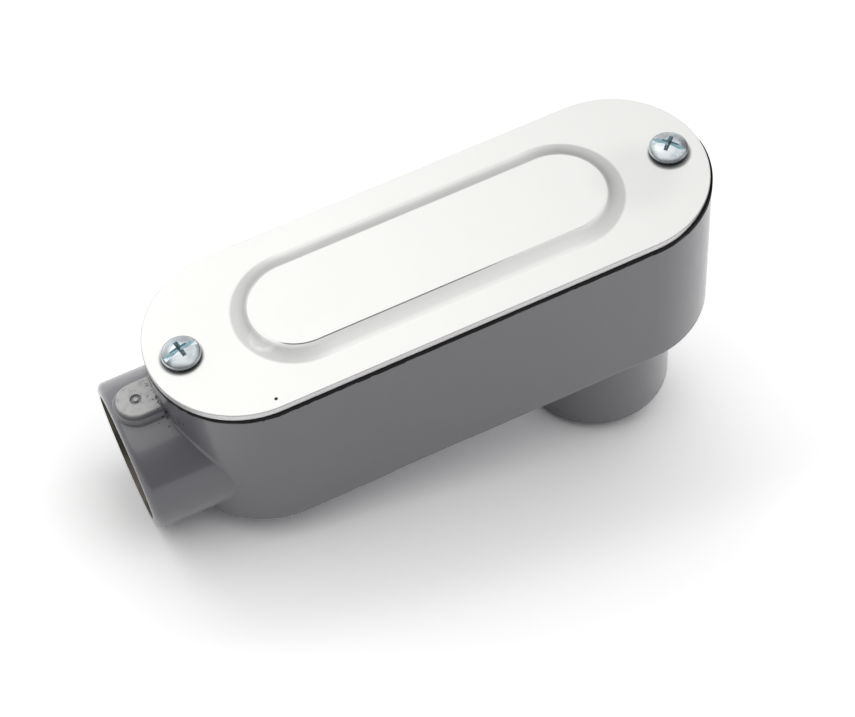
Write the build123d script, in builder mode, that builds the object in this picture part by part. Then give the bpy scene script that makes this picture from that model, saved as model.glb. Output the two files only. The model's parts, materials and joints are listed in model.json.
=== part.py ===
from build123d import *
import os

# Right-angle conduit body, millimetres. The origin is the centre of the run hub's mouth,
# +X runs along the body away from that mouth, and +Z is up, out through the cover.

# Casting
body_length = 120.9
body_width = 40.5
rim_height = 23.2
floor_depth = 14.4
wall = 2.6
floor_edge_radius = 1.2
rim_edge = 0.3
chamber_corner_radius = 3.5
chamber_floor_edge = 1.6

# Shallow field across the underside
field_start = 34.3
field_hub_gap = 11.25
field_depth = 1.2
field_near_ramp = 6.0
field_far_ramp = 13.0

# Hubs: outsides, threaded bores and smooth throats
run_hub_reach = 9.35
run_hub_radius = 15.9
run_fairing_length = 13.0
run_fairing_drop = 2.6
back_hub_reach = 25.5
back_hub_radius = 16.6
back_hub_inset = 24.75
run_rim_radius = 1.5
run_root_radius = 0.7
back_rim_edge = 1.0
back_root_edge = 1.0
thread_radius = 13.25
thread_depth = 18.3
throat_radius = 9.8
throat_length = 3.2
throat_edge = 0.7
back_flare_radius = 14.0

# Stepped pad on top of the run hub, with a pin mark in it
pad_inset = 5.45
pad_radius = 4.1
pad_height = 17.8
pad_edge = 0.3
ledge_width = 0.8
ledge_drop = 1.2
pin_mark_radius = 1.2
pin_mark_depth = 0.35
pin_mark_core_radius = 0.45

# Screws and the holes that hold them
screw_inset = 7.2
screw_length = 9.5
screw_radius = 2.05
tapped_clearance = 0.05
tapped_depth = 7.9
boss_radius = 4.3
boss_depth = 13.0
boss_slope = 4.0
head_radius = 4.0
head_seat_radius = 3.75
head_height = 2.4
head_rim_start = 0.5
head_rim_end = 0.8
head_edge_width = 0.2
head_edge_height = 0.25
slot_width = 1.1
slot_depth = 1.2
cross_width = 0.95
cross_reach = 2.0
cross_depth = 2.0
cross_draft = 10.0
near_slot_angle = 9.5
far_slot_angle = -48.7

# Gasket
gasket_thickness = 0.8
gasket_setback = 0.15
gasket_land = 1.1
gasket_window_corner = 14.0
screw_clearance = 0.45

# Stamped cover with a raised panel
cover_thickness = 1.5
cover_setback = 0.25
cover_play = 0.2
cover_edge = 0.12
panel_side_inset = 5.8
panel_end_inset = 17.65
panel_wall_width = 4.3
panel_rise = 1.05
panel_foot_sink = 0.02
panel_lip_height = 0.2
panel_lip_width = 0.15

# Places that follow from these sizes
body_near_end = run_hub_reach
body_far_end = run_hub_reach + body_length
body_middle = (body_near_end + body_far_end) / 2
near_screw_x = body_near_end + screw_inset
far_screw_x = body_far_end - screw_inset
back_hub_x = body_far_end - back_hub_inset
back_mouth = -floor_depth - back_hub_reach
field_near = body_near_end + field_start
field_far = back_hub_x - back_hub_radius - field_hub_gap - field_far_ramp
hub_depth = thread_depth + throat_length
chamber_start = hub_depth
chamber_floor = field_depth + wall - floor_depth
pad_base = run_hub_radius / 2
boss_root_x = body_far_end - wall / 2
boss_foot = rim_height - boss_depth
gasket_top = rim_height + gasket_thickness
window_start = chamber_start + gasket_land
window_end = far_screw_x - boss_radius - gasket_land
cover_top = gasket_top + cover_thickness
cover_middle = body_middle - cover_play
cover_length = body_length - 2 * cover_setback
cover_width = body_width - 2 * cover_setback
panel_radius = cover_width / 2 - panel_side_inset
panel_straight = cover_length - 2 * (panel_end_inset + panel_radius)

os.makedirs("parts", exist_ok=True)


def hub_bore(plane, inner_end, inner_radius, relief):
    """Half section of a threaded bore and its throat, along the plane's x from the mouth inwards."""
    with BuildSketch(plane) as section:
        with BuildLine():
            Polyline(
                (0, 0),
                (0, thread_radius),
                (thread_depth, thread_radius),
                (thread_depth, throat_radius + throat_edge),
                (thread_depth + throat_edge, throat_radius),
                (hub_depth - throat_edge, throat_radius),
                (inner_end, inner_radius),
                (relief, inner_radius),
                (relief, 0),
                close=True,
            )
        make_face()
    return section.sketch


def panel_section(start_x, flange_top):
    """Half section of the raised panel, across the cover, over a flange with its top at this height."""
    panel_top = panel_rise + panel_lip_height
    crest_radius = panel_radius - panel_wall_width
    with BuildSketch(Plane((start_x, 0, flange_top), x_dir=(0, 1, 0), z_dir=(1, 0, 0))) as section:
        with BuildLine():
            TangentArc(
                (panel_radius, -panel_foot_sink),
                (crest_radius, panel_rise),
                tangent=(-1, 0),
            )
            Polyline(
                (crest_radius, panel_rise),
                (crest_radius - panel_lip_width, panel_top),
                (0, panel_top),
                (0, -cover_thickness),
                (panel_radius, -cover_thickness),
                (panel_radius, -panel_foot_sink),
            )
        make_face()
    return section.sketch


def pan_head_screw(screw_x, slot_angle):
    """Pan head screw seated on the cover, undercut to its seat, with a slot and a cross recess."""
    seat = Plane((screw_x, 0, cover_top)).rotated((0, 0, slot_angle))
    head_top = seat.offset(head_height)
    dome_edge = (head_radius - head_edge_width, head_rim_end + head_edge_height)
    with BuildPart() as screw:
        with BuildSketch(Plane(seat.origin, x_dir=seat.x_dir, z_dir=-seat.y_dir)):
            with BuildLine():
                TangentArc((0, head_height), dome_edge, tangent=(1, 0))
                Polyline(
                    dome_edge,
                    (head_radius, head_rim_end),
                    (head_radius, head_rim_start),
                    (head_seat_radius, 0),
                    (screw_radius, 0),
                    (screw_radius, -screw_length),
                    (0, -screw_length),
                    (0, head_height),
                )
            make_face()
        revolve(axis=Axis(seat.origin, seat.z_dir))
        with BuildSketch(head_top):
            Rectangle(3 * head_radius, slot_width)
        extrude(amount=-slot_depth, mode=Mode.SUBTRACT)
        with BuildSketch(head_top):
            Rectangle(2 * cross_reach, cross_width)
            Rectangle(cross_width, 2 * cross_reach)
        extrude(amount=-cross_depth, taper=cross_draft, mode=Mode.SUBTRACT)
    return screw


# One piece die casting: chamber, run hub and back hub
with BuildPart() as body:
    with BuildSketch(Plane((body_middle, 0, -floor_depth))):
        SlotOverall(body_length, body_width)
    extrude(amount=floor_depth + rim_height)
    fillet(body.edges().group_by(Axis.Z)[0], radius=floor_edge_radius)
    chamfer(body.edges().group_by(Axis.Z)[-1], length=rim_edge)
    with BuildSketch(Plane.XZ):
        with BuildLine():
            Polyline(
                (field_near - field_near_ramp, -floor_depth - field_depth),
                (field_near + field_near_ramp, field_depth - floor_depth),
                (field_far, field_depth - floor_depth),
                (field_far + 2 * field_far_ramp, -floor_depth - field_depth),
                close=True,
            )
        make_face()
    extrude(amount=body_width, both=True, mode=Mode.SUBTRACT)

    # Run hub: a round tube that fades into the underside past the end wall
    with BuildSketch(Plane.XZ):
        with BuildLine():
            Polyline(
                (0, 0),
                (0, run_hub_radius),
                (hub_depth, run_hub_radius),
                (hub_depth + run_fairing_length, run_hub_radius - run_fairing_drop),
                (hub_depth + run_fairing_length, 0),
                close=True,
            )
        make_face()
    revolve(axis=Axis.X)
    fillet(body.edges().filter_by(GeomType.BSPLINE), radius=run_root_radius)
    fillet(body.edges().filter_by(GeomType.CIRCLE).group_by(Axis.X)[0], radius=run_rim_radius)

    # Back hub: a round tube standing out of the underside
    with BuildSketch(Plane((back_hub_x, 0, back_mouth))):
        Circle(back_hub_radius)
    back_tube = extrude(amount=back_hub_reach)
    chamfer(back_tube.edges().group_by(Axis.Z)[-1], length=back_root_edge)
    chamfer(body.edges().group_by(Axis.Z)[0], length=back_rim_edge)

    # Stepped pad on top of the run hub, running into the end wall
    for step_radius, step_height in (
        (pad_radius + ledge_width, pad_height - ledge_drop),
        (pad_radius, pad_height),
    ):
        with BuildSketch(Plane.XY.offset(pad_base)):
            with Locations((pad_inset, 0)):
                Circle(step_radius)
                Rectangle(hub_depth - pad_inset, 2 * step_radius, align=(Align.MIN, Align.CENTER))
        step = extrude(amount=step_height - pad_base, mode=Mode.PRIVATE)
        add(step.chamfer(pad_edge, None, step.edges().group_by(Axis.Z)[-1]))
    with BuildSketch(Plane((pad_inset, 0, pad_height))):
        Circle(pin_mark_radius)
        Circle(pin_mark_core_radius, mode=Mode.SUBTRACT)
    extrude(amount=-pin_mark_depth, mode=Mode.SUBTRACT)

    # Wiring chamber, open at the top
    with BuildSketch(Plane((body_middle, 0, rim_height))) as chamber_plan:
        SlotOverall(body_length - 2 * wall, body_width - 2 * wall)
        with Locations((chamber_start - body_middle, 0)):
            Rectangle(body_length, body_width, align=(Align.MAX, Align.CENTER), mode=Mode.SUBTRACT)
        fillet(chamber_plan.vertices().group_by(Axis.X)[0], radius=chamber_corner_radius)
    chamber = extrude(amount=chamber_floor - rim_height, mode=Mode.SUBTRACT)
    chamfer(chamber.edges().group_by(Axis.Z)[0], length=chamber_floor_edge)

    # Boss for the far screw: a half column on the end wall with a sloped underside
    with BuildSketch(Plane.XY.offset(rim_height)):
        with Locations((far_screw_x, 0)):
            Circle(boss_radius)
            Rectangle(boss_root_x - far_screw_x, 2 * boss_radius, align=(Align.MIN, Align.CENTER))
    column = extrude(amount=-boss_depth - boss_slope, mode=Mode.PRIVATE)
    with BuildSketch(Plane.XZ):
        with BuildLine():
            Polyline(
                (far_screw_x - boss_radius, rim_height),
                (boss_root_x, rim_height),
                (boss_root_x, boss_foot - boss_slope),
                (far_screw_x - boss_radius, boss_foot + boss_slope),
                close=True,
            )
        make_face()
    wedge = extrude(amount=boss_radius, both=True, mode=Mode.PRIVATE)
    add(column & wedge)

    # Bores of the two hubs, the back one flaring out into the chamber floor
    run_bore = hub_bore(
        Plane.XZ,
        hub_depth,
        throat_radius + throat_edge,
        hub_depth + chamber_floor_edge,
    )
    revolve(run_bore, axis=Axis.X, mode=Mode.SUBTRACT)
    back_bore = hub_bore(
        Plane((back_hub_x, 0, back_mouth), x_dir=(0, 0, 1), z_dir=(0, 1, 0)),
        chamber_floor - back_mouth,
        back_flare_radius,
        chamber_floor - back_mouth + wall,
    )
    revolve(back_bore, axis=Axis((back_hub_x, 0, 0), (0, 0, 1)), mode=Mode.SUBTRACT)

    # Blind tapped holes for the cover screws
    for screw_x in (near_screw_x, far_screw_x):
        with BuildSketch(Plane((screw_x, 0, rim_height))):
            Circle(screw_radius + tapped_clearance)
        extrude(amount=-tapped_depth, mode=Mode.SUBTRACT)

# Flat gasket between the rim and the cover
with BuildPart() as gasket:
    with BuildSketch(Plane((body_middle, 0, rim_height))):
        SlotOverall(body_length - 2 * gasket_setback, body_width - 2 * gasket_setback)
        with Locations(((window_start + window_end) / 2 - body_middle, 0)):
            RectangleRounded(
                window_end - window_start,
                body_width - 2 * (wall + gasket_land),
                gasket_window_corner,
                mode=Mode.SUBTRACT,
            )
        with Locations((near_screw_x - body_middle, 0), (far_screw_x - body_middle, 0)):
            Circle(screw_radius + screw_clearance, mode=Mode.SUBTRACT)
    extrude(amount=gasket_thickness)

# Stamped cover: a flat flange round a raised panel of the same sheet
with BuildPart() as cover:
    with BuildSketch(Plane((cover_middle, 0, gasket_top))):
        SlotOverall(cover_length, cover_width)
    extrude(amount=cover_thickness)
    chamfer(cover.edges().group_by(Axis.Z)[-1], length=cover_edge)
    near_turn = cover_middle - panel_straight / 2
    far_turn = cover_middle + panel_straight / 2
    for flange_top, mode in ((cover_top, Mode.ADD), (gasket_top, Mode.SUBTRACT)):
        for turn_x in (near_turn, far_turn):
            turn = Axis((turn_x, 0, 0), (0, 0, 1))
            revolve(panel_section(turn_x, flange_top), axis=turn, mode=mode)
        half = extrude(panel_section(near_turn, flange_top), amount=panel_straight, mode=mode)
        mirror(half, about=Plane.XZ, mode=mode)
    for screw_x in (near_screw_x, far_screw_x):
        with BuildSketch(Plane((screw_x, 0, gasket_top))):
            Circle(screw_radius + screw_clearance)
        extrude(amount=cover_thickness, mode=Mode.SUBTRACT)

near_screw = pan_head_screw(near_screw_x, near_slot_angle)
far_screw = pan_head_screw(far_screw_x, far_slot_angle)

body.part.label = "body"
gasket.part.label = "gasket"
cover.part.label = "cover"
near_screw.part.label = "near_screw"
far_screw.part.label = "far_screw"

export_step(body.part, "parts/body.step")
export_step(gasket.part, "parts/gasket.step")
export_step(cover.part, "parts/cover.step")
export_step(near_screw.part, "parts/near_screw.step")
export_step(far_screw.part, "parts/far_screw.step")
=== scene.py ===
"""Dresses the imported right-angle conduit body and sets its stage. Lengths are metres."""

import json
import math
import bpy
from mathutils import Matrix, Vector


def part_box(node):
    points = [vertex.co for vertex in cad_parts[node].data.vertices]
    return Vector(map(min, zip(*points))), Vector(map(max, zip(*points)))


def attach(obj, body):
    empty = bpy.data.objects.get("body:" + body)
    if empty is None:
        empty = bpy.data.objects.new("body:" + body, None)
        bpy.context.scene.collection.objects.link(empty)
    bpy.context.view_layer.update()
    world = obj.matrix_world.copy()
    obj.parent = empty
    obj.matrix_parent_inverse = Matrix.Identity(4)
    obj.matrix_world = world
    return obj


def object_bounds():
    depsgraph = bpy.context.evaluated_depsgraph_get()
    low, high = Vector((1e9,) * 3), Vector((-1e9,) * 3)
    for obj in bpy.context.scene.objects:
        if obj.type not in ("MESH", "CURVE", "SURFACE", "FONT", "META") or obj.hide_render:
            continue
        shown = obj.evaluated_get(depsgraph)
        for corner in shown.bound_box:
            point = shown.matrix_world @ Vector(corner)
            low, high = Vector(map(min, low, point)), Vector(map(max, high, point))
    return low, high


bl_info = {
    "name": "Conduit body finish",
    "version": (1, 0, 0),
    "blender": (4, 5, 0),
    "location": "3D View > Sidebar > Conduit body",
    "description": "Finishes, threads and stage of a right-angle conduit body",
    "category": "Object",
}

import bmesh
import bpy
from bpy.props import FloatProperty, FloatVectorProperty, PointerProperty
from mathutils import Matrix, Vector, noise

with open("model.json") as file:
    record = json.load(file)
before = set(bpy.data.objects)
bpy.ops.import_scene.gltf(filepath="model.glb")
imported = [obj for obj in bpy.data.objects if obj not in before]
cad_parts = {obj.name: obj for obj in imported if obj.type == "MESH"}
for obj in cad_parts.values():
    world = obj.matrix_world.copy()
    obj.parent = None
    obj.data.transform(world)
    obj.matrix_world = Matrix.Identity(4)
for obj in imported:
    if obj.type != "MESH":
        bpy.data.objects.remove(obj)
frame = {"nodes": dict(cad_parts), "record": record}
cad_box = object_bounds()

MM = 0.001
mounts = {mount["name"]: mount for mount in frame["record"]["mounts"]}

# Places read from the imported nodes: the cover's middle and end radius, and its screws' reach
near_low, near_high = (Vector(corner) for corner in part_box("near_screw"))
far_low, far_high = (Vector(corner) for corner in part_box("far_screw"))
cover_low, cover_high = (Vector(corner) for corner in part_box("cover"))
gasket_low = Vector(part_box("gasket")[0])
near_screw_x = (near_low.x + near_high.x) / 2
far_screw_x = (far_low.x + far_high.x) / 2
screw_reach = (far_screw_x - near_screw_x) / 2
middle_x = (cover_low.x + cover_high.x) / 2
cover_round = cover_high.y

# Sizes of the solids that no box gives
pin_x = 5.45 * MM
pad_top = 17.8 * MM
body_near_end = 9.35 * MM
flange_top = 25.5 * MM
head_height = 2.4 * MM
panel_half_straight = 28.35 * MM
panel_foot_radius = 14.2 * MM
panel_crest_radius = 9.9 * MM


class Value:
    """One number socket of a node tree; arithmetic on it adds the Math nodes."""

    def __init__(self, tree, socket):
        self.tree = tree
        self.socket = socket

    def math(self, operation, *others):
        """Adds a Math node with this value first."""
        sockets = {index: other for index, other in enumerate((self,) + others)}
        node = self.tree.node("ShaderNodeMath", {"operation": operation}, sockets)
        return Value(self.tree, node.outputs[0])

    def flipped(self, operation, other):
        """Adds a Math node with this value second."""
        node = self.tree.node("ShaderNodeMath", {"operation": operation}, {0: other, 1: self})
        return Value(self.tree, node.outputs[0])

    def __add__(self, other):
        return self.math("ADD", other)

    def __radd__(self, other):
        return self.flipped("ADD", other)

    def __sub__(self, other):
        return self.math("SUBTRACT", other)

    def __rsub__(self, other):
        return self.flipped("SUBTRACT", other)

    def __mul__(self, other):
        return self.math("MULTIPLY", other)

    def __rmul__(self, other):
        return self.flipped("MULTIPLY", other)

    def __pow__(self, other):
        return self.math("POWER", other)


class Tree:
    """The emptied nodes of a material or world, and a method that adds any node to them."""

    def __init__(self, owner):
        owner.use_nodes = True
        self.nodes = owner.node_tree.nodes
        self.links = owner.node_tree.links
        self.nodes.clear()
        place = self.node("ShaderNodeTexCoord")
        self.place = place.outputs["Object"]
        axes = self.node("ShaderNodeSeparateXYZ", {}, {0: self.place})
        self.x, self.y, self.z = (Value(self, axes.outputs[index]) for index in range(3))

    def node(self, kind, settings=None, sockets=None):
        """Adds a node, with its settings, and with a value or link for each socket named."""
        node = self.nodes.new(kind)
        for name, value in (settings or {}).items():
            setattr(node, name, value)
        for name, value in (sockets or {}).items():
            if isinstance(value, Value):
                value = value.socket
            if isinstance(value, bpy.types.NodeSocket):
                self.links.new(value, node.inputs[name])
            else:
                node.inputs[name].default_value = value
        return node

    def step(self, value, low, high):
        """0 below low, 1 above high, smooth between."""
        node = self.node(
            "ShaderNodeMapRange",
            {"interpolation_type": "SMOOTHSTEP"},
            {"Value": value, "From Min": low, "From Max": high},
        )
        return Value(self, node.outputs["Result"])

    def band(self, value, start, full, fade, end):
        """1 from full to fade, 0 below start and above end, smooth between."""
        return self.step(value, start, full) * self.step(value, end, fade)

    def reach(self, x, y):
        """Length of the vector (x, y)."""
        return (x ** 2 + y ** 2) ** 0.5

    def spot(self, place, edge, full):
        """A round spot in plan about a place: 1 nearer than full, 0 past its edge."""
        return self.step(self.reach(self.x - place[0], self.y - place[1]), edge, full)

    def seen(self):
        """Masks of the rays that show a backdrop: straight or through glass, and mirrored."""
        rays = self.node("ShaderNodeLightPath").outputs
        mirrored = Value(self, rays["Is Glossy Ray"])
        straight = Value(self, rays["Is Camera Ray"])
        return straight.math("MAXIMUM", Value(self, rays["Is Transmission Ray"])), mirrored


class Finish(Tree):
    """A material under construction, with methods for its patterns and its surface."""

    def __init__(self, name):
        self.material = bpy.data.materials.new(name)
        super().__init__(self.material)

    def noise(self, grain, detail):
        """Noise from 0 to 1 with grains of this size."""
        texture = self.node(
            "ShaderNodeTexNoise",
            {},
            {"Vector": self.place, "Scale": 1 / grain, "Detail": detail},
        )
        return Value(self, texture.outputs[0])

    def mix(self, factor, first, second):
        """The first colour where the factor is 0, the second where it is 1."""
        node = self.node(
            "ShaderNodeMix",
            {"data_type": "RGBA"},
            {"Factor": factor, 6: first, 7: second},
        )
        return node.outputs[2]

    def leaning(self, factor, direction):
        """The surface's normal, leaning towards a direction as the factor rises."""
        normal = self.node("ShaderNodeNewGeometry").outputs["Normal"]
        mixed = self.node(
            "ShaderNodeMix",
            {"data_type": "VECTOR"},
            {"Factor": factor, 4: normal, 5: direction},
        )
        return mixed.outputs[1]

    def shader(self, bumps=(), normal=None, **sockets):
        """The surface: a Principled shader over bumps, each a height and its depth in metres."""
        for height, depth in bumps:
            links = {"Height": height, "Distance": depth}
            if normal is not None:
                links["Normal"] = normal
            normal = self.node("ShaderNodeBump", {}, links).outputs[0]
        names = {name.replace("_", " "): value for name, value in sockets.items()}
        surface = self.node("ShaderNodeBsdfPrincipled", {}, names)
        if normal is not None:
            self.links.new(normal, surface.inputs["Normal"])
        output = self.node("ShaderNodeOutputMaterial")
        self.links.new(surface.outputs[0], output.inputs["Surface"])
        return self.material


def eased(value, low, high):
    """0 at low, 1 at high, smooth between."""
    part = min(max((value - low) / (high - low), 0), 1)
    return part * part * (3 - 2 * part)


def rgba(color):
    """The colour with the fourth number that a colour socket takes."""
    return (*color, 1.0)


def shade(color, factor):
    """The colour made darker or lighter by a factor."""
    return rgba(factor * Vector(color))


def grey(level):
    """A colour from black at 0 to white at 1."""
    return rgba((level,) * 3)


def dress(node_name, material):
    """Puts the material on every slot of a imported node."""
    mesh = frame["nodes"][node_name].data
    mesh.materials.clear()
    mesh.materials.append(material)


def finished_piece(name, bm, material):
    """Makes the shape an object of the part, with its faces outwards."""
    bmesh.ops.remove_doubles(bm, verts=bm.verts, dist=0.001 * MM)
    bmesh.ops.recalc_face_normals(bm, faces=bm.faces)
    mesh = bpy.data.meshes.new(name)
    bm.to_mesh(mesh)
    bm.free()
    mesh.materials.append(material)
    piece = bpy.data.objects.new(name, mesh)
    bpy.context.scene.collection.objects.link(piece)
    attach(piece, "root")
    return piece


class CastingSettings(bpy.types.PropertyGroup):
    color: FloatVectorProperty(
        name="Paint",
        description="Colour of the grey enamel",
        subtype="COLOR",
        default=(0.239, 0.236, 0.265),
    )
    roughness: FloatProperty(
        name="Roughness",
        description="Roughness of the enamel",
        subtype="FACTOR",
        default=0.36,
        min=0,
        max=1,
    )
    rubbed: FloatVectorProperty(
        name="Rubbed paint",
        description="Colour where the enamel is rubbed pale",
        subtype="COLOR",
        default=(0.80, 0.79, 0.77),
    )
    gloss: FloatProperty(
        name="Gloss roughness",
        description="Roughness of the enamel's glossy skin",
        subtype="FACTOR",
        default=0.12,
        min=0,
        max=1,
    )
    peel: FloatProperty(
        name="Orange peel",
        description="Width of the enamel's ripples",
        subtype="DISTANCE",
        default=0.9 * MM,
    )
    darkening: FloatProperty(
        name="Gasket smear",
        description="How far the gasket's rubber comes down over the casting's rim",
        subtype="DISTANCE",
        default=0.45 * MM,
    )


class CoverSettings(bpy.types.PropertyGroup):
    color: FloatVectorProperty(
        name="Sheet",
        description="Colour of the bare sheet",
        subtype="COLOR",
        default=(0.925, 0.925, 0.905),
    )
    roughness: FloatProperty(
        name="Roughness",
        description="Roughness of the satin sheet",
        subtype="FACTOR",
        default=0.41,
        min=0,
        max=1,
    )
    speck: FloatVectorProperty(
        name="Speck",
        description="Place of a black speck on the flange",
        subtype="TRANSLATION",
        default=(28.9 * MM, -17.9 * MM, flange_top),
    )


class GasketSettings(bpy.types.PropertyGroup):
    color: FloatVectorProperty(
        name="Rubber",
        description="Colour of the gasket",
        subtype="COLOR",
        default=(0.025, 0.0235, 0.025),
    )
    ragged: FloatProperty(
        name="Ragged edge",
        description="How far the squeezed edge wanders up and down",
        subtype="DISTANCE",
        default=0.42 * MM,
    )


class ScrewSettings(bpy.types.PropertyGroup):
    color: FloatVectorProperty(
        name="Plating",
        description="Colour of the zinc plate",
        subtype="COLOR",
        default=(0.85, 0.92, 0.97),
    )
    roughness: FloatProperty(
        name="Roughness",
        description="Roughness of the zinc plate",
        subtype="FACTOR",
        default=0.27,
        min=0,
        max=1,
    )
    blue_and_sheen: FloatVectorProperty(
        name="Blue chromate",
        description="Colour of the plating deep in the slot and recess",
        subtype="COLOR",
        default=(0.70, 0.88, 0.93),
    )
    dome: FloatProperty(
        name="Dome",
        description="Radius of the sphere that the head's top is part of",
        subtype="DISTANCE",
        default=6.02 * MM,
    )


class ThreadSettings(bpy.types.PropertyGroup):
    color: FloatVectorProperty(
        name="Cut metal",
        description="Colour of the bare thread",
        subtype="COLOR",
        default=(0.27, 0.24, 0.20),
    )
    per_inch: FloatProperty(
        name="Threads per inch",
        description="Turns of the pipe thread in one inch",
        default=14,
    )
    height: FloatProperty(
        name="Ridge",
        description="Height of the ridges over the bore's wall",
        subtype="DISTANCE",
        default=1.05 * MM,
    )


class StageSettings(bpy.types.PropertyGroup):
    ceiling: FloatProperty(
        name="Ceiling",
        description="Power of the wide panel overhead",
        subtype="POWER",
        default=13.9,
    )
    strip: FloatProperty(
        name="Strip",
        description="Power of the strip over the object",
        subtype="POWER",
        default=0.72,
    )
    side: FloatProperty(
        name="Side panel",
        description="Power of the panel beside the far end",
        subtype="POWER",
        default=0.55,
    )
    sky: FloatProperty(
        name="Room light",
        description="Strength of the even light from all round",
        default=0.1,
    )
    paper: FloatProperty(
        name="Paper",
        description="Brightness of the paper as it is seen",
        default=1.82,
    )
    depth: FloatProperty(
        name="Table",
        description="Depth of the level part of the paper",
        subtype="DISTANCE",
        default=1.6,
    )
    apron: FloatProperty(
        name="Apron",
        description="How far the paper reaches in front of the object",
        subtype="DISTANCE",
        default=0.5,
    )
    bend: FloatProperty(
        name="Sweep",
        description="Radius of the curve at the rear of the paper",
        subtype="DISTANCE",
        default=0.5,
    )


class ConduitOperator(bpy.types.Operator):
    """Common ground of the operators below"""

    bl_options = {"REGISTER", "UNDO"}


class PaintCasting(ConduitOperator):
    """Grey enamel on the casting, with bare metal in the threaded bores"""

    bl_idname = "conduit.paint_casting"
    bl_label = "Paint the casting"

    def execute(self, context):
        look = context.scene.conduit_casting
        finish = Finish("grey_paint")
        cloud = finish.noise(14 * MM, 3)
        paint = finish.mix(cloud, shade(look.color, 0.96), shade(look.color, 1.04))
        paint = self.worn_pad(finish, look, paint)

        # The gasket's rubber comes down over the casting's rim: a dark band, partly the rubber and
        # partly painted shade in the joint under the cover
        rubber = context.scene.conduit_gasket.color
        ragged = finish.step(finish.noise(3.2 * MM, 3), 0.38, 0.66)
        over_edge = finish.z - (gasket_low.z - look.darkening * ragged)
        paint = finish.mix(finish.step(over_edge, 0.0, 0.06 * MM), paint, rgba(rubber))

        bare = self.bare_bores(finish)
        color = finish.mix(bare, paint, rgba(context.scene.conduit_thread.color))
        peel = finish.noise(look.peel, 2)
        sag = finish.noise(9 * MM, 2)
        material = finish.shader(
            bumps=((sag, 0.10 * MM), (peel, 0.015 * MM)),
            Base_Color=color,
            Metallic=0.7 * bare,
            Roughness=look.roughness + 0.12 * (cloud - 0.5),
            Coat_Weight=1.0 - bare,
            Coat_Roughness=look.gloss,
        )
        dress("body", material)
        return {"FINISHED"}

    def worn_pad(self, finish, look, paint):
        """The pad on the run hub rubbed pale, with dark flecks round its inner end and painted
        shade in the pin's dimple.
        """
        on_hub = finish.step(finish.x, body_near_end + 0.15 * MM, body_near_end - 0.15 * MM)
        rubbed = finish.step(finish.z, pad_top - 0.3 * MM, pad_top - 0.05 * MM) * on_hub
        rubbed = rubbed * (0.6 + 0.4 * finish.step(finish.noise(1.4 * MM, 4), 0.3, 0.55))
        halo = finish.spot((pin_x, 0), 12 * MM, 7.5 * MM)
        halo = halo * finish.step(finish.z, 9 * MM, 13 * MM) * on_hub
        paint = finish.mix(0.1 * halo, paint, rgba(look.rubbed))
        paint = finish.mix(0.8 * rubbed, paint, rgba(look.rubbed))

        near_wall = finish.band(finish.x, 6.8 * MM, 9.4 * MM, 10.5 * MM, 13 * MM)
        on_top = finish.band(finish.z, 13 * MM, 16 * MM, 18 * MM, 18.5 * MM)
        flecks = finish.step(finish.noise(0.8 * MM, 3) + 0.16 * near_wall * on_top, 0.68, 0.75)
        flecks = flecks * near_wall.math("GREATER_THAN", 0.01) * on_top.math("GREATER_THAN", 0.01)
        flecks = flecks * finish.step(finish.y, 5.5 * MM, 4 * MM)
        paint = finish.mix(flecks, paint, shade(look.color, 0.12))

        # Painted shade in the pin's dimple: a darker ring round it
        off_pin = finish.reach(finish.x - pin_x, finish.y)
        pin_dimple_shade = finish.band(off_pin, 0.3 * MM, 0.7 * MM, 0.9 * MM, 1.3 * MM)
        pin_dimple_shade = pin_dimple_shade * finish.step(finish.z, pad_top - 0.8 * MM, pad_top - 0.6 * MM)
        return finish.mix(0.7 * pin_dimple_shade, paint, shade(look.color, 0.6))

    def bare_bores(self, finish):
        """A mask of the threaded parts of the two bores."""
        bore = 1.01 * mounts["run_hub"]["dims"]["r_mm"] * MM
        depth = 1.01 * mounts["run_hub"]["dims"]["length_mm"] * MM
        back_x, _, back_z = mounts["back_hub"]["pos_m"]
        fade = 0.1 * MM
        run_bare = finish.step(finish.reach(finish.y, finish.z), bore + fade, bore)
        run_bare = run_bare * finish.step(finish.x, depth + fade, depth)
        back_bare = finish.spot((back_x, 0), bore + fade, bore)
        back_bare = back_bare * finish.step(finish.z, back_z + depth + fade, back_z + depth)
        return run_bare.math("MAXIMUM", back_bare)


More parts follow.
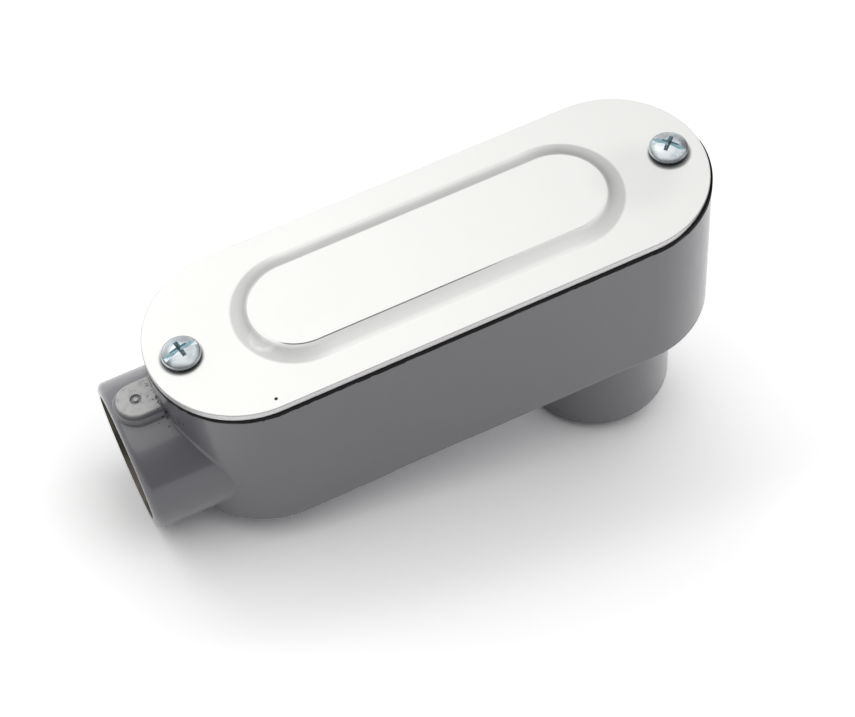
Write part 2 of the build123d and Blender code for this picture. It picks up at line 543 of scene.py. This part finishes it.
class FinishCover(ConduitOperator):
    """Satin sheet metal on the cover"""

    bl_idname = "conduit.finish_cover"
    bl_label = "Finish the cover"

    def execute(self, context):
        look = context.scene.conduit_cover
        finish = Finish("satin_aluminium")
        grain = finish.noise(0.35 * MM, 3)
        cloud = finish.noise(11 * MM, 4)
        color = finish.mix(cloud, shade(look.color, 0.96), shade(look.color, 1.02))
        speck = finish.spot(look.speck, 0.45 * MM, 0.25 * MM)
        speck = speck * finish.step(finish.z, flange_top - 0.5 * MM, flange_top - 0.3 * MM)
        color = finish.mix(speck, color, grey(0.02))
        beside = (finish.x - middle_x).math("ABSOLUTE")
        far_half = finish.step(finish.x, middle_x, middle_x + MM)

        # Painted shadow round each screw head, a darker ring a little to the front and more so at
        # the far one
        front = 0.4 * MM + 0.35 * MM * far_half
        off_screw = finish.reach(beside - screw_reach, finish.y + front)
        painted_screw_shadow = finish.step(off_screw, 4.7 * MM, 3.9 * MM)
        color = finish.mix(0.85 * painted_screw_shadow, color, rgba((0.14, 0.14, 0.15)))

        # The sheet's cut edge is duller; its upper corner is painted white and not metallic, a
        # painted highlight along the top edge
        past_turn = (beside - (cover_high.x - middle_x - cover_round)).math("MAXIMUM", 0)
        out = finish.reach(past_turn, finish.y)
        edge = finish.step(out, cover_round - 0.16 * MM, cover_round - 0.12 * MM)
        color = finish.mix(edge, color, rgba((0.84, 0.825, 0.83)))
        corner = edge * finish.step(finish.z, flange_top - 0.2 * MM, flange_top - 0.14 * MM)
        color = finish.mix(corner, color, grey(1))

        # Painted shade: a faint darker patch round the far screw. The panel's wall gets its own
        # painted shade and painted glint
        painted_shade_place = (114 * MM, -3 * MM)
        darkening = finish.spot(painted_shade_place, 12 * MM, 4 * MM)
        color = finish.mix(0.095 * darkening, color, grey(0.2))
        color, brow = self.panel_wall(finish, color, beside, far_half)
        material = finish.shader(
            bumps=((cloud, 0.02 * MM), (grain, 0.004 * MM)),
            normal=finish.leaning(brow, (0, 0, 1)),
            Base_Color=color,
            # Metallic falls to 0 on the corner's painted highlight
            Metallic=1.0 - corner,
            Roughness=look.roughness + 0.14 * (grain - 0.5) + 0.1 * (cloud - 0.5),
        )
        dress("cover", material)
        return {"FINISHED"}

    def panel_wall(self, finish, color, beside, far_half):
        """The drawn wall round the panel with painted shade, and a mask of the brow that softens
        it.
        """
        panel_top = cover_high.z
        wall = finish.band(
            finish.z,
            flange_top,
            flange_top + 0.2 * MM,
            panel_top - 0.1 * MM,
            panel_top - 0.02 * MM,
        )
        turns = finish.step(beside, 24 * MM, 36 * MM)
        off_line = finish.reach((beside - panel_half_straight).math("MAXIMUM", 0), finish.y)
        ring = finish.band(
            off_line,
            panel_crest_radius + 0.1 * MM,
            panel_crest_radius + 0.9 * MM,
            panel_foot_radius - 1 * MM,
            panel_foot_radius - 0.3 * MM,
        )
        # Painted shade on the wall: faint along the straights, a heavier band at the turns, a
        # little less at the far one
        painted_wall_shade = 0.12 * wall * (1 - turns) + ring * turns * (0.4 - 0.1 * far_half)
        color = finish.mix(painted_wall_shade, color, grey(0.2))

        # A painted highlight: a bright glint on the wall at the near turn
        painted_glint_place = (31.7 * MM, -4.6 * MM)
        painted_glint = finish.spot(painted_glint_place, 3.6 * MM, 2 * MM)
        painted_glint = painted_glint * (0.35 + 0.65 * finish.step(finish.noise(3 * MM, 1), 0.45, 0.6))
        color = finish.mix(0.42 * wall * painted_glint, color, grey(1))

        # The brow, the wall's steep top, is softer at the near turn and towards the far end
        brow = finish.band(
            finish.z,
            panel_top - 0.3 * MM,
            panel_top - 0.2 * MM,
            panel_top - 0.015 * MM,
            panel_top - 0.005 * MM,
        )
        near_turn = finish.step(finish.x, 36 * MM, 33 * MM)
        far_end = finish.step(finish.x, middle_x, middle_x + 30 * MM)
        return color, brow * (0.15 + 0.8 * (near_turn + far_end))


class FinishGasket(ConduitOperator):
    """Black rubber on the gasket, with the edge that the cover squeezes out"""

    bl_idname = "conduit.finish_gasket"
    bl_label = "Finish the gasket"

    def execute(self, context):
        look = context.scene.conduit_gasket
        finish = Finish("black_rubber")
        dust = finish.noise(0.5 * MM, 3)
        material = finish.shader(
            bumps=((dust, 0.03 * MM),),
            Base_Color=finish.mix(dust, shade(look.color, 0.7), shade(look.color, 1.6)),
            Roughness=0.55 + 0.2 * dust,
            Specular_IOR_Level=0.1,
        )
        dress("gasket", material)
        finished_piece("gasket_bead", self.squeezed_edge(look), material)
        return {"FINISHED"}

    def squeezed_edge(self, look):
        """The edge that the cover squeezes out, swept round the outline of the casting."""
        far_turn = Vector((cad_box[1][0] - cad_box[1][1], 0, 0))
        near_turn = Vector((body_near_end + cad_box[1][1], 0, 0))

        # Its section, as millimetres out from the middle line and up
        profile = (
            (19.85, 23.98),
            (20.13, 23.98),
            (20.22, 23.80),
            (20.22, 23.20),
            (20.20, 23.02),
            (19.96, 23.10),
        )
        bm = bmesh.new()
        corners = [bm.verts.new((near_turn.x, -out * MM, height * MM)) for out, height in profile]
        section = [bm.faces.new(corners)]
        rounds = {"angle": -math.pi, "steps": 90}
        runs = {"angle": 0, "steps": 160}
        step = (far_turn - near_turn) / runs["steps"]
        for centre, shift, sweep in (
            (near_turn, Vector(), rounds),
            (near_turn, step, runs),
            (far_turn, Vector(), rounds),
            (far_turn, -step, runs),
        ):
            swept = bmesh.ops.spin(
                bm,
                geom=section,
                cent=centre,
                axis=(0, 0, 1),
                dvec=shift,
                use_duplicate=False,
                **sweep,
            )
            section = [item for item in swept["geom_last"] if isinstance(item, bmesh.types.BMFace)]
        bmesh.ops.delete(bm, geom=section, context="FACES_ONLY")
        bmesh.ops.remove_doubles(bm, verts=bm.verts, dist=0.01 * MM)

        # Its lower side wanders up and down
        middle_z = 23.5 * MM
        for corner in bm.verts:
            ragged = noise.noise(corner.co / (3.0 * MM)) + 0.5 * noise.noise(corner.co / (1.0 * MM))
            if corner.co.z < middle_z:
                corner.co.z += look.ragged * ragged
            self.curl(corner, far_turn)
        return bm

    def curl(self, corner, far_turn):
        """Curls the edge up and out round the front of the far end, inside the CAD box."""
        outer_face = 20.0 * MM
        upper_side = 23.7 * MM
        rise = 0.7 * MM
        spread = 0.12 * MM
        most_x = 20.23 * MM
        off_turn = corner.co - far_turn
        angle = math.atan2(off_turn.y, off_turn.x)
        curled = eased(math.degrees(angle), -80, -50) * eased(math.degrees(angle), 12, -4)
        reach = math.hypot(off_turn.x, off_turn.y)
        if curled > 0 and reach > outer_face:
            if corner.co.z > upper_side:
                corner.co.z += rise * curled
            wider = min(reach + spread * curled, most_x / math.cos(angle))
            corner.co.x = far_turn.x + off_turn.x * wider / reach
            corner.co.y = off_turn.y * wider / reach


class FinishScrews(ConduitOperator):
    """Bright zinc plate on the cover screws"""

    bl_idname = "conduit.finish_screws"
    bl_label = "Finish the screws"

    def execute(self, context):
        look = context.scene.conduit_screws
        finish = Finish("zinc_steel")
        cloud = finish.noise(2.4 * MM, 2)
        grain = finish.noise(0.3 * MM, 2)
        patches = finish.step(cloud, 0.35, 0.65)
        color = finish.mix(patches, shade(look.color, 0.84), shade(look.color, 1.12))

        # Bluer below the dome, in the slot and recess: partly the plating's blue chromate tone,
        # partly a painted reflection that lightens the hollows
        beside = (finish.x - middle_x).math("ABSOLUTE") - screw_reach
        off_axis = finish.reach(beside, finish.y)
        dome = near_high.z - look.dome + (look.dome ** 2 - off_axis ** 2) ** 0.5
        sunk = finish.step(dome - finish.z, 0.05 * MM, 0.3 * MM)
        sunk = sunk * finish.step(off_axis, 3.7 * MM, 3.4 * MM)
        color = finish.mix(sunk, color, rgba(look.blue_and_sheen))

        # Up the head's side: painted shade under the lip, a painted highlight on the lip and a
        # painted dark reflection line over it
        up_head = finish.z - (near_high.z - head_height)
        painted_shade_under_lip = finish.step(up_head, 0.8 * MM, 0.5 * MM)
        color = finish.mix(painted_shade_under_lip, color, shade(look.color, 0.32))
        painted_lip_highlight = finish.band(up_head, 0.78 * MM, 0.82 * MM, 1.03 * MM, 1.08 * MM)
        color = finish.mix(0.5 * painted_lip_highlight, color, grey(1))
        painted_dark_line = finish.band(up_head, 1.04 * MM, 1.09 * MM, 1.16 * MM, 1.36 * MM) * (1 - sunk)
        color = finish.mix(0.55 * painted_dark_line, color, shade(look.color, 0.3))
        material = finish.shader(
            bumps=((cloud, 0.05 * MM), (grain, 0.002 * MM)),
            Base_Color=color,
            Metallic=0.74,
            Roughness=look.roughness + 0.1 * (cloud - 0.5),
        )
        dress("near_screw", material)
        dress("far_screw", material)
        return {"FINISHED"}


class CutThreads(ConduitOperator):
    """Threads inside the run hub and the back hub"""

    bl_idname = "conduit.cut_threads"
    bl_label = "Cut the hub threads"

    def execute(self, context):
        look = context.scene.conduit_thread
        finish = Finish("thread_metal")
        cloud = finish.noise(2 * MM, 3)
        material = finish.shader(
            bumps=((cloud, 0.02 * MM),),
            Base_Color=finish.mix(cloud, shade(look.color, 0.8), shade(look.color, 1.1)),
            Metallic=1.0,
            Roughness=0.3 + 0.15 * cloud,
        )
        for name in ("run_hub", "back_hub"):
            bm = self.ridge(mounts[name], look)
            finished_piece(f"{name}_thread", bm, material)
        return {"FINISHED"}

    def ridge(self, mount, look):
        """One ridge that winds up the mount's bore, its foot sunk in the wall."""
        inch = 25.4 * MM
        pitch = inch / look.per_inch
        wall = mount["dims"]["r_mm"] * MM
        length = mount["dims"]["length_mm"] * MM
        turns = math.floor((length - pitch) / pitch)
        steps_per_turn = 72
        steps = steps_per_turn * turns
        foot = wall + 0.05 * MM
        crest = wall - look.height
        profile = (
            (foot, 0.06 * pitch),
            (crest, 0.44 * pitch),
            (crest, 0.56 * pitch),
            (foot, 0.94 * pitch),
        )
        bm = bmesh.new()
        end = bm.faces.new([bm.verts.new((radius, 0, height)) for radius, height in profile])
        bmesh.ops.spin(
            bm,
            geom=[end],
            cent=(0, 0, 0),
            axis=(0, 0, 1),
            dvec=(0, 0, turns * pitch / steps),
            angle=turns * math.tau,
            steps=steps,
            use_duplicate=False,
        )
        inward = -Vector(mount["axis"])
        turn = Vector((0, 0, 1)).rotation_difference(inward).to_matrix().to_4x4()
        turn = turn @ Matrix.Rotation(math.pi, 4, "Z")
        bmesh.ops.transform(bm, matrix=Matrix.Translation(mount["pos_m"]) @ turn, verts=bm.verts)
        return bm


class SetStage(ConduitOperator):
    """Floor under the fitting as it lies, soft light and the camera"""

    bl_idname = "conduit.set_stage"
    bl_label = "Set the stage"

    def execute(self, context):
        look = context.scene.conduit_stage
        context.scene.view_settings.view_transform = "Standard"
        self.lay_paper(look)
        self.light_room(look.sky)

        # Soft light: a wide ceiling, a strip over the object and a panel beside its far end
        self.softbox("ceiling", (0.09, 0.22, 1), distance=1.13, size=(2.4, 2.3), power=look.ceiling)
        self.softbox("strip", (-0.12, 0.6, 0.8), distance=1, size=(0.8, 0.75), power=look.strip)
        self.softbox("side_panel", (0.8, -0.4, 0.4), distance=0.9, size=(0.7, 0.7), power=look.side)
        self.aim_camera()
        return {"FINISHED"}

    def lie(self):
        """The move that lays a level floor against the rims of the fitting's two hubs."""
        run_touch = Vector((1.11, 0, -15.85)) * MM
        back_touch = Vector((89.9, 0, -39.9)) * MM
        along = (back_touch - run_touch).normalized()
        up = Vector((-along.z, 0, along.x))
        tilt = Matrix((along, Vector((0, 1, 0)), up)).transposed().to_4x4()
        return Matrix.Translation(run_touch) @ tilt

    def lay_paper(self, look):
        """A white sweep: a table that ends in front and curves up behind."""
        half_width = 1.8
        rear = look.depth - look.apron
        bm = bmesh.new()
        bmesh.ops.create_grid(bm, x_segments=2, y_segments=2, size=1)
        bmesh.ops.scale(bm, vec=(half_width, look.depth / 2, 1), verts=bm.verts)
        bmesh.ops.translate(bm, vec=(0, look.depth / 2 - look.apron, 0), verts=bm.verts)
        rear_edges = [edge for edge in bm.edges if all(v.co.y > rear - MM for v in edge.verts)]
        bend = bmesh.ops.spin(
            bm,
            geom=rear_edges,
            cent=(0, rear, look.bend),
            axis=(1, 0, 0),
            angle=math.radians(90),
            steps=24,
            use_duplicate=False,
        )
        top_edges = [item for item in bend["geom_last"] if isinstance(item, bmesh.types.BMEdge)]
        wall = bmesh.ops.extrude_edge_only(bm, edges=top_edges)
        risen = [item for item in wall["geom"] if isinstance(item, bmesh.types.BMVert)]
        bmesh.ops.translate(bm, vec=(0, 0, look.bend), verts=risen)
        bmesh.ops.transform(bm, matrix=self.lie(), verts=bm.verts)
        bmesh.ops.recalc_face_normals(bm, faces=bm.faces)
        mesh = bpy.data.meshes.new("floor")
        bm.to_mesh(mesh)
        bm.free()
        mesh.shade_smooth()
        mesh.materials.append(self.paper_material(look.paper))
        floor = bpy.data.objects.new("floor", mesh)
        bpy.context.scene.collection.objects.link(floor)

    def paper_material(self, paper):
        """White paper that shows brighter to the camera and in reflections than it lights."""
        finish = Finish("white_paper")
        straight, mirrored = finish.seen()
        seen = straight.math("MAXIMUM", mirrored)
        lit = finish.node("ShaderNodeBsdfDiffuse", {}, {"Color": grey(0.77)})

        # Brighter in front of the shadow, painted light that makes the object's shadow fade sooner,
        # and most at the backdrop, which gets less light
        painted_shadow_fade = finish.step(finish.y, -34 * MM, -52 * MM)
        white = finish.mix(painted_shadow_fade, grey(paper), grey(1.09 * paper))
        backdrop = finish.step(finish.reach(finish.x - middle_x, finish.y), 0.3, 1.1)
        white = finish.mix(backdrop, white, grey(2.7 * paper))
        white = finish.mix(mirrored, white, grey(0.8 * paper))
        shown = finish.node("ShaderNodeBsdfDiffuse", {}, {"Color": white})
        either = finish.node(
            "ShaderNodeMixShader",
            {},
            {0: seen, 1: lit.outputs[0], 2: shown.outputs[0]},
        )
        finish.node("ShaderNodeOutputMaterial", {}, {"Surface": either.outputs[0]})
        return finish.material

    def light_room(self, sky):
        """Even light from all round, white to the camera and, low behind, in reflections."""
        bpy.context.scene.world = bpy.data.worlds.new("room")
        room = Tree(bpy.context.scene.world)
        straight, mirrored = room.seen()
        low_behind = room.step(room.y, 0.45, 0.8) * room.step(room.z, 0.52, 0.42)
        shown = straight.math("MAXIMUM", mirrored * low_behind)
        strength = sky + (1 - sky) * shown
        light = room.node("ShaderNodeBackground", {}, {0: grey(1), 1: strength})
        room.node("ShaderNodeOutputWorld", {}, {0: light.outputs[0]})

    def softbox(self, name, direction, distance, size, power):
        """An area light of this size that faces the middle of the object."""
        light = bpy.data.lights.new(name, "AREA")
        light.shape = "RECTANGLE"
        light.size, light.size_y = size
        light.energy = power
        lamp = bpy.data.objects.new(name, light)
        middle = Vector((0.07, 0, 0))
        outward = Vector(direction)
        lamp.location = middle + distance * outward.normalized()
        lamp.rotation_euler = outward.to_track_quat("Z", "Y").to_euler()
        bpy.context.scene.collection.objects.link(lamp)

    def aim_camera(self):
        """A camera where the photograph was taken, as fitted to its outlines."""
        place = (-17.639 * MM, -241.28 * MM, 365.274 * MM)
        right = Vector((0.902385, -0.424982, -0.071361))
        back = -Vector((0.184715, 0.53107, -0.826949))
        turn = Matrix((right, back.cross(right), back)).transposed().to_4x4()
        camera = bpy.data.cameras.new("camera")
        camera.sensor_width = 36
        camera.lens = 90.69
        view = bpy.data.objects.new("camera", camera)
        view.matrix_world = Matrix.Translation(place) @ turn
        bpy.context.scene.collection.objects.link(view)
        bpy.context.scene.camera = view


class ConduitPanel(bpy.types.Panel):
    """Sidebar panel with the operators of the conduit body"""

    bl_idname = "VIEW3D_PT_conduit"
    bl_label = "Conduit body"
    bl_space_type = "VIEW_3D"
    bl_region_type = "UI"
    bl_category = "Conduit body"

    def draw(self, context):
        for operator in OPERATORS:
            self.layout.operator(operator.bl_idname)


SETTINGS = {
    "conduit_casting": CastingSettings,
    "conduit_cover": CoverSettings,
    "conduit_gasket": GasketSettings,
    "conduit_screws": ScrewSettings,
    "conduit_thread": ThreadSettings,
    "conduit_stage": StageSettings,
}
OPERATORS = (PaintCasting, FinishCover, FinishGasket, FinishScrews, CutThreads, SetStage)


def register():
    for name, group in SETTINGS.items():
        bpy.utils.register_class(group)
        setattr(bpy.types.Scene, name, PointerProperty(type=group))
    for operator in OPERATORS:
        bpy.utils.register_class(operator)
    bpy.utils.register_class(ConduitPanel)


def unregister():
    bpy.utils.unregister_class(ConduitPanel)
    for operator in reversed(OPERATORS):
        bpy.utils.unregister_class(operator)
    for name, group in SETTINGS.items():
        delattr(bpy.types.Scene, name)
        bpy.utils.unregister_class(group)


def main():
    register()
    bpy.ops.conduit.paint_casting()
    bpy.ops.conduit.finish_cover()
    bpy.ops.conduit.finish_gasket()
    bpy.ops.conduit.finish_screws()
    bpy.ops.conduit.cut_threads()
    bpy.ops.conduit.set_stage()


if __name__ == "__main__":
    main()
